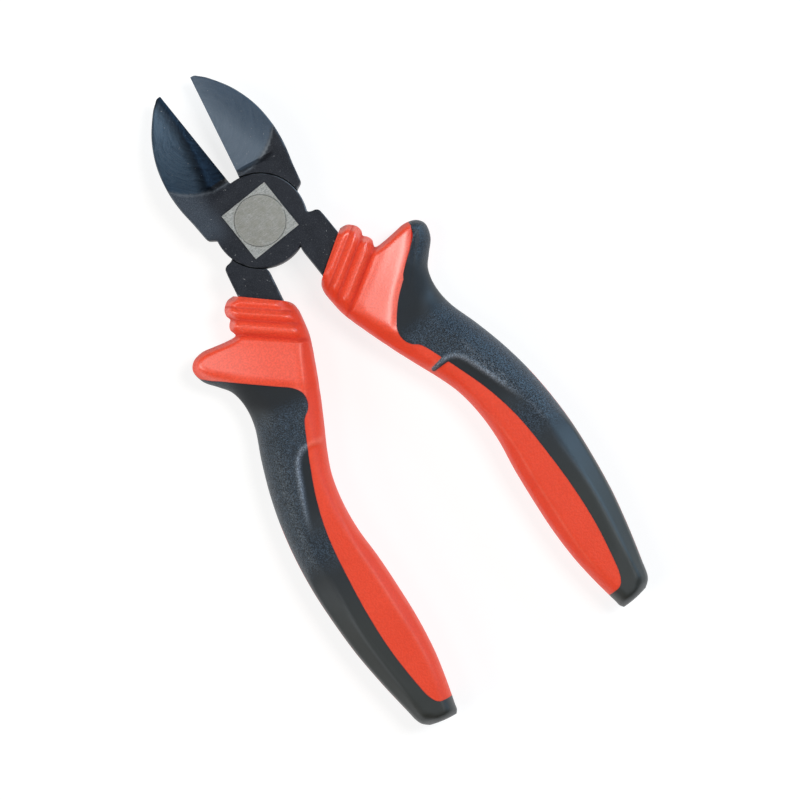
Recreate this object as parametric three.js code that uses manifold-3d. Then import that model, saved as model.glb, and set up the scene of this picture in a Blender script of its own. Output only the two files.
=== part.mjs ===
// Diagonal cutting pliers, 160 mm: two identical lap-jointed forgings on one rivet, each with a
// two-material grip (a hard red core and a soft black overmould).
// Units are millimetres. +Z is up and is the pivot's axis, +Y points from the pivot to the jaws.
// The origin is the centre of the rivet's lower face, on the underside of the head.
import * as THREE from "three";
import { mergeVertices } from "three/addons/utils/BufferGeometryUtils.js";
import Module from "manifold-3d";

// ---------------------------------------------------------------- driving dimensions
const REST_OPENING = 6.3; // degrees that each half stands open from its closed place
const HUB_RADIUS = 11; // the lap joint's disc
const HALF_HEAD = 5; // half the thickness of the head
const BOSS_HEIGHT = 0.25; // the ground square boss round the rivet
const BOSS_SIDE = 12.8;
const MID_HEIGHT = HALF_HEAD + BOSS_HEIGHT; // the mid-plane's height over the lower boss face
const LAP_GAP = 0.1; // between the two discs
const SWING_GAP = 0.2; // between a disc and the wall it turns in
const RIVET_HEAD_RADIUS = 6;
const RIVET_SHANK_RADIUS = 4;
const RIVET_HEAD_DEPTH = 1.2; // straight part of the countersunk head
const RIVET_CONE_DEPTH = 1.6;
const RIVET_CLEARANCE = 0.1;
const ROUND_STEPS = 48; // sides of a full circle

const BLADE_BASE_Y = 11.6; // the ground faces start here, at the cutting edge
const BLADE_TIP_Y = 37.2;
const EDGE_GAP = 0.06; // from a closed cutting edge to the centre line
const EDGE_HALF_THICKNESS = 0.15;
const BEVEL_SLOPE = 0.95; // rise of the cutting bevel for each millimetre from the edge
const WHEEL_LOW_Y = 35; // the hollow-ground face is lowest here
const WHEEL_LOW_HALF = 0.8; // half the blade's thickness there, at the edge
const WHEEL_TILT = 7.3; // degrees that the hollow face climbs towards the jaw's back

const SKIN = 1.5; // thickness of the overmould
const FIT_GAP = 0.3; // between the pieces of a grip
const RIB_HEIGHT = 0.8;
const SHOULDER = 3; // width of the rounded edge of a grip's face
const CHAMFER_START = 0.42; // where the wide chamfer leaves the side, as a share of the height
const CHAMFER_SLOPE = 0.9;
const BUTT_BOW = 1; // how far the butt bulges past a straight line
const COLUMNS = 10; // facets across each face of a grip

const wasm = await Module();
wasm.setup();

// ---------------------------------------------------------------- solids
function solid(geometry) {
  const bare = geometry.clone();
  bare.deleteAttribute("normal");
  bare.deleteAttribute("uv");
  const merged = mergeVertices(bare, 1e-4);
  return new wasm.Manifold(
    new wasm.Mesh({
      numProp: 3,
      vertProperties: merged.attributes.position.array,
      triVerts: new Uint32Array(merged.index.array),
    }),
  );
}

function meshOf(name, made, material) {
  const { vertProperties, triVerts } = made.getMesh();
  const geometry = new THREE.BufferGeometry();
  geometry.setAttribute("position", new THREE.BufferAttribute(vertProperties, 3));
  geometry.setIndex(new THREE.BufferAttribute(triVerts, 1));
  geometry.computeVertexNormals();
  const mesh = new THREE.Mesh(geometry, material);
  mesh.name = name;
  return mesh;
}

// A plan outline made solid between two heights.
function prism(outline, low, high) {
  const shape = Array.isArray(outline) ? new THREE.Shape(outline) : outline;
  const geometry = new THREE.ExtrudeGeometry(shape, {
    depth: high - low,
    bevelEnabled: false,
    curveSegments: 4,
  });
  return solid(geometry.translate(0, 0, low));
}

// A side outline in (y, z) made solid across a width in x, and then placed.
function sidePrism(points, from, to, place = new THREE.Matrix4()) {
  const shape = new THREE.Shape(vectors(points));
  const geometry = new THREE.ExtrudeGeometry(shape, { depth: to - from, bevelEnabled: false });
  // the shape's x, y and depth become y, z and x
  const turn = new THREE.Matrix4().makeBasis(
    new THREE.Vector3(0, 1, 0),
    new THREE.Vector3(0, 0, 1),
    new THREE.Vector3(1, 0, 0),
  );
  return solid(geometry.applyMatrix4(turn).translate(from, 0, 0).applyMatrix4(place));
}

function disc(radius, low, high) {
  const geometry = new THREE.CylinderGeometry(radius, radius, high - low, ROUND_STEPS);
  return solid(geometry.rotateX(Math.PI / 2).translate(0, 0, (low + high) / 2));
}

function vectors(pairs) {
  return pairs.map(([x, y]) => new THREE.Vector2(x, y));
}

// ---------------------------------------------------------------- forging
// One half in its closed place with its mid-plane at z = 0: jaw to the left, tang to the right.
const JAW_BACK = [
  [-1.3, 37.1],
  [-3.9, 35.1],
  [-7.8, 30.7],
  [-10.8, 25.2],
  [-12.4, 19.4],
  [-12.9, 14],
  [-12.6, 8.5],
  [-12.4, 4],
];
const TANG_INNER = [
  [3.3, -14],
  [3.3, -20],
  [9.8, -45],
  [16.4, -67],
  [16.6, -78],
  [13.6, -101],
];
const TANG_OUTER = [
  [12.4, -9.5],
  [12.4, -22],
  [17.8, -45],
  [22.6, -68],
  [22.3, -78],
  [17.4, -101],
];
const TANG_HALF_THICKNESS = [
  [-18, HALF_HEAD],
  [-34, 3.4],
  [-101, 2.3],
];

function forgingOutline() {
  const shape = new THREE.Shape();
  shape.moveTo(-EDGE_GAP, BLADE_TIP_Y);
  shape.lineTo(...JAW_BACK[0]);
  shape.splineThru(vectors(JAW_BACK.slice(1)));
  shape.quadraticCurveTo(-11.4, 3.8, -10.65, 2.75);
  shape.absarc(0, 0, HUB_RADIUS, Math.atan2(2.75, -10.65), Math.atan2(-10.4, 3.65), false);
  shape.quadraticCurveTo(3.4, -10.9, ...TANG_INNER[0]);
  for (const point of TANG_INNER.slice(1)) shape.lineTo(...point);
  for (const point of [...TANG_OUTER].reverse()) shape.lineTo(...point);
  shape.lineTo(12.35, -7.3);
  shape.quadraticCurveTo(12.25, -6.1, 11.3, -5.9);
  shape.quadraticCurveTo(10.2, -5.8, 9.85, -4.9);
  shape.absarc(0, 0, HUB_RADIUS, Math.atan2(-4.9, 9.85), Math.PI / 2, false);
  shape.quadraticCurveTo(-EDGE_GAP, 10.9, -EDGE_GAP, BLADE_BASE_Y);
  return shape;
}

// What is ground off one face of the jaw: a hollow face, and the bevel down to the cutting edge.
// The side is 1 for the upper face and -1 for the lower one.
function bladeCutter(side) {
  const reach = 30;
  const steps = 8;
  const clear = 12;
  const first = BLADE_BASE_Y - 3;
  const last = WHEEL_LOW_Y + 4;
  const hollow = [];
  for (let i = 0; i <= steps; i++) {
    const y = THREE.MathUtils.lerp(first, last, i / steps);
    const away = (WHEEL_LOW_Y - y) / (WHEEL_LOW_Y - BLADE_BASE_Y);
    hollow.push([y, side * THREE.MathUtils.lerp(WHEEL_LOW_HALF, HALF_HEAD, away * away)]);
  }
  hollow.push([last, side * clear], [first, side * clear]);
  const tilt = new THREE.Matrix4().makeRotationY((side * WHEEL_TILT * Math.PI) / 180);
  const face = sidePrism(hollow, -reach, 2, tilt);
  const width = 8;
  const bevel = [
    [2, side * EDGE_HALF_THICKNESS],
    [-EDGE_GAP, side * EDGE_HALF_THICKNESS],
    [-EDGE_GAP - width, side * (EDGE_HALF_THICKNESS + width * BEVEL_SLOPE)],
    [2, side * (EDGE_HALF_THICKNESS + width * BEVEL_SLOPE)],
  ];
  const edge = new THREE.ExtrudeGeometry(new THREE.Shape(vectors(bevel)), {
    depth: reach,
    bevelEnabled: false,
  });
  // the shape's x, y and depth become x, z and -y
  edge.rotateX(Math.PI / 2).translate(0, BLADE_BASE_Y + reach, 0);
  return face.add(solid(edge));
}

// The tang's side outline, with a clearance all round.
function tangSlab(clearance) {
  const top = TANG_HALF_THICKNESS.map(([y, z]) => [y, z + clearance]);
  top[top.length - 1][0] -= clearance;
  top.unshift([50, HALF_HEAD + clearance]);
  const bottom = top.map(([y, z]) => [y, -z]).reverse();
  return sidePrism([...top, ...bottom], -40, 40);
}

function rivetForm(clearance) {
  const end = MID_HEIGHT + (clearance > 0 ? 1 : 0);
  const straight = MID_HEIGHT - RIVET_HEAD_DEPTH;
  const cone = straight - RIVET_CONE_DEPTH;
  const head = RIVET_HEAD_RADIUS + clearance;
  const shank = RIVET_SHANK_RADIUS + clearance;
  const profile = vectors([
    [0, -end],
    [head, -end],
    [head, -straight],
    [shank, -cone],
    [shank, cone],
    [head, straight],
    [head, end],
    [0, end],
  ]);
  return solid(new THREE.LatheGeometry(profile, ROUND_STEPS).rotateX(Math.PI / 2));
}

function forging() {
  const side = new THREE.BoxGeometry(BOSS_SIDE, BOSS_SIDE, 1 + BOSS_HEIGHT);
  side.translate(0, 0, MID_HEIGHT - (1 + BOSS_HEIGHT) / 2);
  const under = disc(HUB_RADIUS + SWING_GAP, -HALF_HEAD - 1, LAP_GAP / 2);
  return prism(forgingOutline(), -HALF_HEAD, HALF_HEAD)
    .subtract(bladeCutter(1))
    .subtract(bladeCutter(-1))
    .intersect(tangSlab(0))
    .subtract(under)
    .add(solid(side))
    .subtract(rivetForm(RIVET_CLEARANCE));
}

// The room that the tang needs inside a grip.
function tangPocket() {
  const inner = TANG_INNER.map(([x, y]) => [x - FIT_GAP, y]);
  const outer = TANG_OUTER.map(([x, y]) => [x + FIT_GAP, y]);
  inner[inner.length - 1][1] -= FIT_GAP;
  outer[outer.length - 1][1] -= FIT_GAP;
  inner[0][1] = 0;
  outer[0][1] = 0;
  const plan = prism(vectors([...inner, ...outer.reverse()]), -HALF_HEAD - 1, HALF_HEAD + 1);
  return plan.intersect(tangSlab(FIT_GAP));
}

// ---------------------------------------------------------------- grip
// Slices across the grip from the collar to the butt: the ends of each on the inner and on the
// outer side, and half the thickness there.
const SLICES = [
  { inner: [2.3, -19.7], outer: [14, -12.5], half: 5.7 }, // collar's mouth
  { inner: [1.3, -21.2], outer: [16.1, -13.5], half: 6.4 },
  { inner: [1.1, -23.3], outer: [16.9, -15.5], half: 6.4 + RIB_HEIGHT },
  { inner: [1.15, -25.8], outer: [16.2, -17.6], half: 6.4 },
  { inner: [1.35, -28.2], outer: [17.5, -19.4], half: 6.5 + RIB_HEIGHT },
  { inner: [1.7, -30.1], outer: [17.6, -20.9], half: 6.5 },
  { inner: [2.2, -32], outer: [21.4, -20.9], half: 7.2 }, // guard
  { inner: [2.7, -33.8], outer: [25.6, -21], half: 7.2 },
  { inner: [3.2, -35.5], outer: [28.4, -22], half: 7.2 },
  { inner: [3.7, -37.2], outer: [29.6, -24.6], half: 7.2 },
  { inner: [4.3, -39.2], outer: [28.4, -27.7], half: 7.1 },
  { inner: [4.9, -41], outer: [25.6, -30.4], half: 7 },
  { inner: [5.5, -43], outer: [23.4, -33], half: 6.9 },
  { inner: [6.4, -45.6], outer: [22.2, -37.2], half: 6.8 }, // thumb's hollow
  { inner: [7.6, -49], outer: [22.4, -42.6], half: 7 },
  { inner: [9.6, -54.6], outer: [24.4, -50], half: 7.5 },
  { inner: [11.1, -60.2], outer: [26.1, -58], half: 7.7 },
  { inner: [11.65, -67], outer: [27.1, -66], half: 7.7 },
  { inner: [11.2, -74.2], outer: [27.4, -74.2], half: 7.5 }, // widest
  { inner: [9.8, -82], outer: [27.05, -82.4], half: 7.2 },
  { inner: [8.7, -90.4], outer: [26, -91], half: 6.9 },
  { inner: [7.9, -98.6], outer: [24.5, -99.6], half: 6.6 },
  { inner: [7.7, -106.6], outer: [22.5, -107.6], half: 6.3 },
  { inner: [8.1, -113], outer: [20.8, -113.4], half: 6.1 },
  { inner: [8.65, -117.8], outer: [19.5, -117.6], half: 5.9 },
  { inner: [9.2, -120.6], outer: [18.6, -120], half: 5.5 },
  { inner: [10.2, -122.3], outer: [17, -121.8], half: 4.3 }, // butt
];
const FACET_FROM = 14; // from this slice on, wide chamfers replace the round shoulders

// The border between red and black from the guard to the butt, on the front and on the back.
const BORDER_END = [
  [8.7, -40.2],
  [8.6, -42.4],
  [9.4, -44.2],
  [11.1, -46],
  [12.6, -50],
  [14.6, -56],
  [16.8, -64],
  [18.1, -73],
  [18.2, -84],
  [17.7, -94.5],
  [16.5, -104],
  [14.5, -113],
  [12.9, -117],
  [11, -118.2],
  [4, -118.2],
];
const BORDER_FRONT = [[26.2, -15], [26.4, -22.6], [22.4, -28], [13.8, -34], [10, -38]];
const BORDER_BACK = [[35, -22.5], [27.6, -27.6], [20.4, -32], [13.8, -36], [10.5, -38]];
const SPINE = { from: -65, to: -117, halfHeight: 1.3, depth: 2.6 }; // red line down the outside

// One side of the grip seen from above, drawn in by an inset square to the outline.
function sideOf(key, inset) {
  const sign = key === "inner" ? 1 : -1;
  const points = vectors(SLICES.map((slice) => slice[key]));
  const lowest = points[points.length - 1].y + inset;
  return points.map((point, i) => {
    const before = points[Math.max(i - 1, 0)];
    const after = points[Math.min(i + 1, points.length - 1)];
    const along = after.clone().sub(before).normalize();
    const x = point.x - sign * inset * along.y;
    const y = point.y + sign * inset * along.x;
    return new THREE.Vector2(x, Math.max(y, lowest));
  });
}

function distanceTo(line, point) {
  const spot = new THREE.Vector3(point.x, point.y, 0);
  const nearest = new THREE.Vector3();
  let least = Infinity;
  for (let i = 1; i < line.length; i++) {
    const start = new THREE.Vector3(line[i - 1].x, line[i - 1].y, 0);
    const end = new THREE.Vector3(line[i].x, line[i].y, 0);
    new THREE.Line3(start, end).closestPointToPoint(spot, true, nearest);
    least = Math.min(least, nearest.distanceTo(spot));
  }
  return least;
}

// Height of the grip's face at a distance from its outline.
function crownAt(away, half, faceted) {
  const round = half * Math.sqrt(1 - Math.max(0, 1 - away / SHOULDER) ** 2);
  const chamfer = half * CHAMFER_START + CHAMFER_SLOPE * away;
  return faceted ? Math.min(round, chamfer) : round;
}

// The grip's outer form, drawn in by an inset on every side.
function gripForm(inset) {
  const inner = sideOf("inner", inset);
  const outer = sideOf("outer", inset);
  const ring = 2 * COLUMNS;
  const last = SLICES.length - 1;
  const positions = [];
  const faces = [];
  for (const [row, slice] of SLICES.entries()) {
    const half = slice.half - inset;
    const bow = row === last ? BUTT_BOW : 0;
    const front = [];
    for (let column = 0; column <= COLUMNS; column++) {
      const across = (1 - Math.cos((Math.PI * column) / COLUMNS)) / 2;
      const spot = inner[row].clone().lerp(outer[row], across);
      const away = Math.min(distanceTo(inner, spot), distanceTo(outer, spot));
      const rim = column === 0 || column === COLUMNS;
      spot.y -= bow * 4 * across * (1 - across);
      front.push([spot.x, spot.y, rim ? 0 : crownAt(away, half, row >= FACET_FROM)]);
    }
    const back = front.slice(1, -1).reverse();
    positions.push(...front, ...back.map(([x, y, z]) => [x, y, -z]));
  }
  for (let start = 0; start < last * ring; start += ring)
    for (let i = 0; i < ring; i++) {
      const next = (i + 1) % ring;
      faces.push([start + i, start + ring + i, start + next]);
      faces.push([start + next, start + ring + i, start + ring + next]);
    }
  for (let i = 0; i < COLUMNS; i++) {
    const corners = [i, i + 1, ring - i - 1, (ring - i) % ring];
    for (const [a, b, c] of [
      [0, 1, 2],
      [0, 2, 3],
    ]) {
      const [u, v, w] = [corners[a], corners[b], corners[c]];
      if (u === v || v === w || u === w) continue;
      faces.push([u, v, w]);
      faces.push([last * ring + u, last * ring + w, last * ring + v]);
    }
  }
  const geometry = new THREE.BufferGeometry();
  geometry.setAttribute("position", new THREE.Float32BufferAttribute(positions.flat(), 3));
  geometry.setIndex(faces.flat());
  return solid(geometry);
}

// The black area of one face seen from above, widened towards the red by a gap.
function blackPlan(border, gap) {
  const curve = new THREE.SplineCurve(vectors([...border, ...BORDER_END]));
  const line = [];
  for (let i = 0; i <= 40; i++) {
    const along = curve.getTangent(i / 40);
    const point = curve.getPoint(i / 40);
    line.push(new THREE.Vector2(point.x + gap * along.y, point.y - gap * along.x));
  }
  return [...line, ...vectors([[4, -126], [40, -126], [40, line[0].y]])];
}

function blackRegion(gap) {
  const top = SPINE.from - gap;
  const bottom = SPINE.to + gap;
  const beside = sideOf("outer", SPINE.depth).filter(({ y }) => y < top && y > bottom);
  const ends = vectors([[beside[0].x, top], [40, top], [40, bottom], [17.5, bottom]]);
  const slot = prism([...ends, ...beside.reverse()], gap - SPINE.halfHeight, SPINE.halfHeight - gap);
  return prism(blackPlan(BORDER_FRONT, gap), 0, 20)
    .add(prism(blackPlan(BORDER_BACK, gap), -20, 0.01))
    .subtract(slot);
}

function gripCore() {
  const sleeve = blackRegion(FIT_GAP).subtract(gripForm(SKIN + FIT_GAP));
  return gripForm(0).subtract(sleeve).subtract(tangPocket());
}

function gripOvermould() {
  return gripForm(0).intersect(blackRegion(0)).subtract(gripForm(SKIN));
}

// ---------------------------------------------------------------- assembly
const oxideSteel = new THREE.MeshStandardMaterial({ color: 0x2d323c, roughness: 0.45, metalness: 0.8 });
const brightSteel = new THREE.MeshStandardMaterial({ color: 0xa6a69c, roughness: 0.35, metalness: 0.9 });
const redPlastic = new THREE.MeshStandardMaterial({ color: 0xd8452c, roughness: 0.45, metalness: 0 });
const blackRubber = new THREE.MeshStandardMaterial({ color: 0x23262d, roughness: 0.7, metalness: 0 });

function half(name, gripName, turn) {
  const group = new THREE.Group();
  group.name = name;
  group.add(meshOf(`${name}_forging`, forging(), oxideSteel));
  group.add(meshOf(`${gripName}_core`, gripCore(), redPlastic));
  group.add(meshOf(`${gripName}_overmould`, gripOvermould(), blackRubber));
  group.rotation.set(0, turn, (Math.cos(turn) * REST_OPENING * Math.PI) / 180, "ZYX");
  group.position.z = MID_HEIGHT;
  return group;
}

const frontHalf = half("front_half", "right_grip", 0);
frontHalf.add(meshOf("pivot_rivet", rivetForm(0), brightSteel));
const backHalf = half("back_half", "left_grip", Math.PI);

const pliers = new THREE.Group();
pliers.name = "diagonal_cutting_pliers";
pliers.add(frontHalf, backHalf);
export default pliers;
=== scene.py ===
"""Diagonal cutting pliers: the fine surfaces and the materials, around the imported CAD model.

Each half is made in its closed place, in millimetres, with the mid-plane of the head at z = 0,
the jaw to the left of the pivot and the tang and grip to the right. The back half is the same
shape turned over about the tool's long axis. placed() moves a half to its place at rest.
"""

import math

import bmesh
import bpy
import numpy as np
from mathutils import Matrix, Vector
from mathutils.geometry import delaunay_2d_cdt


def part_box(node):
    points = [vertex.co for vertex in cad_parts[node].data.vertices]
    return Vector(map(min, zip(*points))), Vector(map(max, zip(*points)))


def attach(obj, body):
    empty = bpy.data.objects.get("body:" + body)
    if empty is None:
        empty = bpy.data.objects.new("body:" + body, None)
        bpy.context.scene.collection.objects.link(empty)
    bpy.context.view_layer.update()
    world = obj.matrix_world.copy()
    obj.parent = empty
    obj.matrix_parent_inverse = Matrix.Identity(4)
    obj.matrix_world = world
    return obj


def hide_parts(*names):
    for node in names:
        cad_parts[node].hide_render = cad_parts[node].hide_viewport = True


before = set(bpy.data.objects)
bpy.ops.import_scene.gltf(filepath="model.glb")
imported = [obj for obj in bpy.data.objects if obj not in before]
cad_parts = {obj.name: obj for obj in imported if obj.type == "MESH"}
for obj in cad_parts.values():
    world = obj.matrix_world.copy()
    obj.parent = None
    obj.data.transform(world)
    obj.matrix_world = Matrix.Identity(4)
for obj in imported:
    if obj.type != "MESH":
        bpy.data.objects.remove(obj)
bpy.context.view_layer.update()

# ---------------------------------------------------------------- sizes, in millimetres
MM = 0.001
MERGE_DISTANCE = 2e-6  # metres: nearer points become one
rivet_low, rivet_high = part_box("pivot_rivet")
grip_low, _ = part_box("right_grip_core")
MID_HEIGHT = (rivet_low.z + rivet_high.z) / 2 / MM
RIVET_RADIUS = (rivet_high.x - rivet_low.x) / 2 / MM
FLOOR_HEIGHT = grip_low.z / MM
REST_OPENING = 6.3  # degrees that each half stands open
BOSS_HEIGHT = 0.25
BOSS_HALF_SIDE = 6.4
HALF_HEAD = MID_HEIGHT - BOSS_HEIGHT
HUB_RADIUS = 11
SWING_GAP = 0.2
LAP_GAP = 0.1
RIVET_GAP = 0.05
FLOOR_GAP = 0.1

BLADE_BASE_Y = 11.6
BLADE_TIP_Y = 37.2
EDGE_GAP = 0.06
EDGE_HALF_THICKNESS = 0.15
BEVEL_SLOPE = 0.95
BEVEL_BLEND = 0.8
UNDER_SLOPE = 0.5  # the other side of the edge is ground flatter, without a clear bevel
UNDER_BLEND = 1.2
TOP_CURVE = 2  # how strongly each side of the jaw is hollowed: 1 is flat
UNDER_CURVE = 1.3
WHEEL_LOW_Y = 35
WHEEL_LOW_HALF = 0.8
WHEEL_TILT = math.tan(math.radians(5))
GROUND_CENTRE_Y = 26  # the ground hollow ends on a circle round this place on the blade's line
GROUND_RADIUS = 14.5
EDGE_ROUND = 0.3  # rounding of the forging's outer edges
RIM_STEPS = (0.06, 0.16, 0.28, 0.42, 0.6, 0.85)  # rows of points for the rounding
BOSS_STEP = 0.06  # width of the slope at the boss's sides
PLAN_STEP = 0.62  # spacing of the points away from the rim
RIVET_SHANK_RADIUS = 4
RIVET_RIM_DEPTH = 1.2  # the rivet's head is straight down to here
RIVET_SINK_DEPTH = 2.8  # and its countersink ends here

SKIN = 1.5  # thickness of the overmould
SKIN_GAP = 0.05
ROOM_GAP = 0.15  # room round the tang
COLUMNS = 64  # steps across each face of a grip


# ---------------------------------------------------------------- small helpers
def ramp(value, low, high):
    """0 at low, 1 at high, with a smooth change between."""
    share = np.clip((value - low) / (high - low), 0, 1)
    return share * share * (3 - 2 * share)


def rounded(distance, radius):
    """A quarter round: 0 at the rim, 1 from radius inwards."""
    return np.sqrt(1 - (1 - np.clip(distance / radius, 0, 1)) ** 2)


def soft_min(a, b, width):
    """The lesser of two values, with the corner between them rounded off."""
    share = np.clip(0.5 + 0.5 * (b - a) / width, 0, 1)
    return b + (a - b) * share - width * share * (1 - share)


def through(values, at):
    """A smooth curve through the rows of values, at fractional row numbers."""
    values = np.asarray(values, float)
    ends = np.vstack([2 * values[0] - values[1], values, 2 * values[-1] - values[-2]])
    first = np.clip(np.floor(at).astype(int), 0, len(values) - 2)
    t = (at - first)[:, None]
    a, b, c, d = (ends[first + i] for i in range(4))
    linear = (c - a) * t
    square = (2 * a - 5 * b + 4 * c - d) * t**2
    cube = (3 * b - a - 3 * c + d) * t**3
    return 0.5 * (2 * b + linear + square + cube)


def curve_through(points, steps):
    """Points along a smooth curve through the given ones."""
    return through(points, np.linspace(0, len(points) - 1, steps))


def beside(points, line):
    """Signed distance of each point from an open line, positive on the line's left."""
    start, end = line[:-1], line[1:]
    along = end - start
    best = np.full(len(points), np.inf)
    signed = np.zeros(len(points))
    for s, d in zip(start, along):
        offset = points - s
        share = np.clip(offset @ d / max(d @ d, 1e-12), 0, 1)
        gap = offset - share[:, None] * d
        distance = np.hypot(gap[:, 0], gap[:, 1])
        side = np.where(d[0] * offset[:, 1] - d[1] * offset[:, 0] >= 0, 1, -1)
        closer = distance < best - 1e-9
        best = np.where(closer, distance, best)
        signed = np.where(closer, distance * side, signed)
    return signed


def placed(points, back):
    """A half's points, from its closed place to its place at rest, in metres."""
    turn = Matrix.Rotation(math.radians(-REST_OPENING if back else REST_OPENING), 3, "Z")
    if back:
        turn = turn @ Matrix.Rotation(math.pi, 3, "Y")
    moved = np.asarray(points, float) @ np.array(turn).T
    moved[:, 2] += MID_HEIGHT
    return moved * MM


def make_piece(name, points, faces, fields=None):
    """A closed mesh object from points in metres, with named values on its points."""
    mesh = bpy.data.meshes.new(name)
    mesh.from_pydata(np.asarray(points).tolist(), [], faces)
    for title, values in (fields or {}).items():
        attribute = mesh.attributes.new(title, "FLOAT", "POINT")
        attribute.data.foreach_set("value", np.asarray(values, np.float32))
    form = bmesh.new()
    form.from_mesh(mesh)
    bmesh.ops.remove_doubles(form, verts=form.verts, dist=MERGE_DISTANCE)
    bmesh.ops.delete(form, geom=[v for v in form.verts if not v.link_faces], context="VERTS")
    bmesh.ops.recalc_face_normals(form, faces=form.faces)
    form.to_mesh(mesh)
    form.free()
    piece = bpy.data.objects.new(name, mesh)
    bpy.context.scene.collection.objects.link(piece)
    return piece


def cut_away(piece, *tools):
    """Cuts the tools' solids out of a piece, and deletes the tools."""
    for tool in tools:
        modifier = piece.modifiers.new("cut", "BOOLEAN")
        modifier.operation = "DIFFERENCE"
        modifier.solver = "EXACT"
        modifier.object = tool
    bpy.context.view_layer.update()
    depsgraph = bpy.context.evaluated_depsgraph_get()
    mesh = bpy.data.meshes.new_from_object(piece.evaluated_get(depsgraph))
    piece.modifiers.clear()
    piece.data = mesh
    for tool in tools:
        bpy.data.objects.remove(tool)


def finish_piece(piece, material, body, node, crease):
    """Gives a piece its material and body, and hides the CAD part named node. Edges sharper than crease
    degrees stay sharp.
    """
    piece.data.materials.clear()
    piece.data.materials.append(material)
    piece.data.shade_smooth()
    piece.data.set_sharp_from_angle(angle=math.radians(crease))
    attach(piece, body)
    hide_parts(node)


def cylinder(name, radius, low, high, back, steps=160):
    """A closed cylinder round a half's pivot."""
    angle = np.linspace(0, 2 * math.pi, steps, endpoint=False)
    ring = np.column_stack([radius * np.cos(angle), radius * np.sin(angle)])
    points = np.vstack([np.column_stack([ring, np.full(steps, z)]) for z in (low, high)])
    sides = [(i, (i + 1) % steps, steps + (i + 1) % steps, steps + i) for i in range(steps)]
    caps = [tuple(range(steps))[::-1], tuple(range(steps, 2 * steps))]
    return make_piece(name, placed(points, back), sides + caps)


# ---------------------------------------------------------------- materials
def new_material(name):
    """A new material with only a shader in it, its node tree and that shader."""
    material = bpy.data.materials.new(name)
    material.use_nodes = True
    nodes = material.node_tree.nodes
    nodes.clear()
    output = nodes.new("ShaderNodeOutputMaterial")
    shader = nodes.new("ShaderNodeBsdfPrincipled")
    material.node_tree.links.new(shader.outputs["BSDF"], output.inputs["Surface"])
    return material, material.node_tree, shader


def node(tree, kind, inputs=None, **settings):
    """A shader node. An input's value is a number, a colour or another node's output."""
    made = tree.nodes.new(kind)
    for key, value in settings.items():
        setattr(made, key, value)
    for key, value in (inputs or {}).items():
        if isinstance(value, bpy.types.NodeSocket):
            tree.links.new(value, made.inputs[key])
        else:
            made.inputs[key].default_value = value
    return made


def where(tree, scale=(1, 1, 1), location=(0, 0, 0)):
    """Object coordinates in millimetres, moved and then stretched."""
    coordinates = node(tree, "ShaderNodeTexCoord")
    size = [s / MM for s in scale]
    place = [v * s for v, s in zip(location, scale)]
    inputs = {0: coordinates.outputs["Object"], "Scale": size, "Location": place}
    return node(tree, "ShaderNodeMapping", inputs).outputs[0]


def noise(tree, vector, scale, detail=3, roughness=0.55):
    """A noise texture's value."""
    inputs = {"Vector": vector, "Scale": scale, "Detail": detail, "Roughness": roughness}
    return node(tree, "ShaderNodeTexNoise", inputs).outputs["Fac"]


def between(tree, value, low, high, new_low, new_high):
    """A value between low and high, carried over to the new range and kept inside it."""
    inputs = {"Value": value, "From Min": low, "From Max": high, "To Min": new_low, "To Max": new_high}
    return node(tree, "ShaderNodeMapRange", inputs).outputs["Result"]


def math_node(tree, operation, a, b=0):
    return node(tree, "ShaderNodeMath", {0: a, 1: b}, operation=operation).outputs[0]


def multiply(tree, a, b):
    return math_node(tree, "MULTIPLY", a, b)


def add(tree, a, b):
    return math_node(tree, "ADD", a, b)


def length(tree, vector):
    return node(tree, "ShaderNodeVectorMath", {0: vector}, operation="LENGTH").outputs["Value"]


def mix_colour(tree, share, a, b):
    """Colour a where the share is 0, and colour b where it is 1."""
    made = node(tree, "ShaderNodeMix", data_type="RGBA")
    for socket, value in ((made.inputs[0], share), (made.inputs[6], a), (made.inputs[7], b)):
        if isinstance(value, bpy.types.NodeSocket):
            tree.links.new(value, socket)
        else:
            socket.default_value = value
    return made.outputs[2]


def bump(tree, height, strength, distance, normal=None):
    """A normal for a relief whose full height is a distance in millimetres."""
    inputs = {"Height": height, "Strength": strength, "Distance": distance * MM}
    if normal is not None:
        inputs["Normal"] = normal
    return node(tree, "ShaderNodeBump", inputs).outputs["Normal"]


def field(tree, name):
    """A named value that the piece's points carry."""
    return node(tree, "ShaderNodeAttribute", attribute_name=name).outputs["Fac"]


def grinding_arcs(tree):
    """Fine marks left by a cup wheel, in circles round the middle of the jaws."""
    place = where(tree, scale=(1, 1, 0), location=(0, -GROUND_CENTRE_Y, 0))
    radius = length(tree, place)
    wander = multiply(tree, noise(tree, place, 0.09, 2), 5)
    track = node(tree, "ShaderNodeCombineXYZ", {"X": add(tree, radius, wander), "Y": wander})
    return noise(tree, track.outputs[0], 1.7, 5, 0.75)


OXIDE_DARK = (0.008, 0.01, 0.014, 1)
OXIDE_LIGHT = (0.026, 0.03, 0.039, 1)
OXIDE_FLECK = (0.066, 0.07, 0.08, 1)
# Ground steel in two tints, bluer on the upper face and greyer on the under face: painted light, the look
# each jaw's face takes under the lamps. Low to high follows the grinding marks.
UPPER_GROUND_PAINTED_LIGHT_LOW = (0.024, 0.046, 0.075, 1)
UPPER_GROUND_PAINTED_LIGHT_HIGH = (0.07, 0.115, 0.168, 1)
UNDER_GROUND_PAINTED_LIGHT_LOW = (0.046, 0.073, 0.11, 1)
UNDER_GROUND_PAINTED_LIGHT_HIGH = (0.07, 0.102, 0.146, 1)
GROUND_FLECK = (0.13, 0.145, 0.165, 1)
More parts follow.
